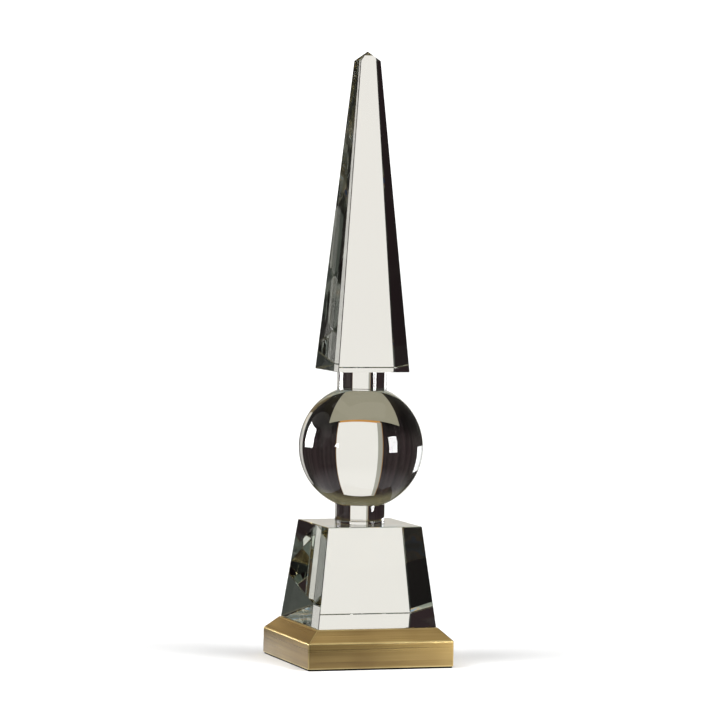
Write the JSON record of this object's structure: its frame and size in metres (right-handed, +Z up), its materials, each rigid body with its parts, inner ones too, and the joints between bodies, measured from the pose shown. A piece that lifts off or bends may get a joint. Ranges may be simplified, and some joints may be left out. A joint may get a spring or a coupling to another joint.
{
  "type": "crystal obelisk table ornament",
  "caption": "Tapered clear crystal obelisk standing on a crystal ball between short round necks, over a tapered crystal pedestal and a square antiqued brass base with felt underneath.",
  "frame": {"origin": "centre of the underside of the felt pad, where the ornament stands", "axes": "+Z up along the shaft, X and Y square to the sides of the base"},
  "size_m": [0.1218, 0.1218, 0.4897],
  "materials": {
    "crystal": "polished clear optical crystal",
    "brass": "brushed, antiqued and lacquered",
    "core": "plain fibreboard",
    "felt": "dark wool felt"
  },
  "bodies": {
    "root": {"felt_pad": "felt", "base_core": "core", "brass_cover": "brass", "pedestal": "crystal", "lower_neck": "crystal", "crystal_ball": "crystal", "upper_neck": "crystal", "shaft": "crystal"}
  },
  "joints": []
}
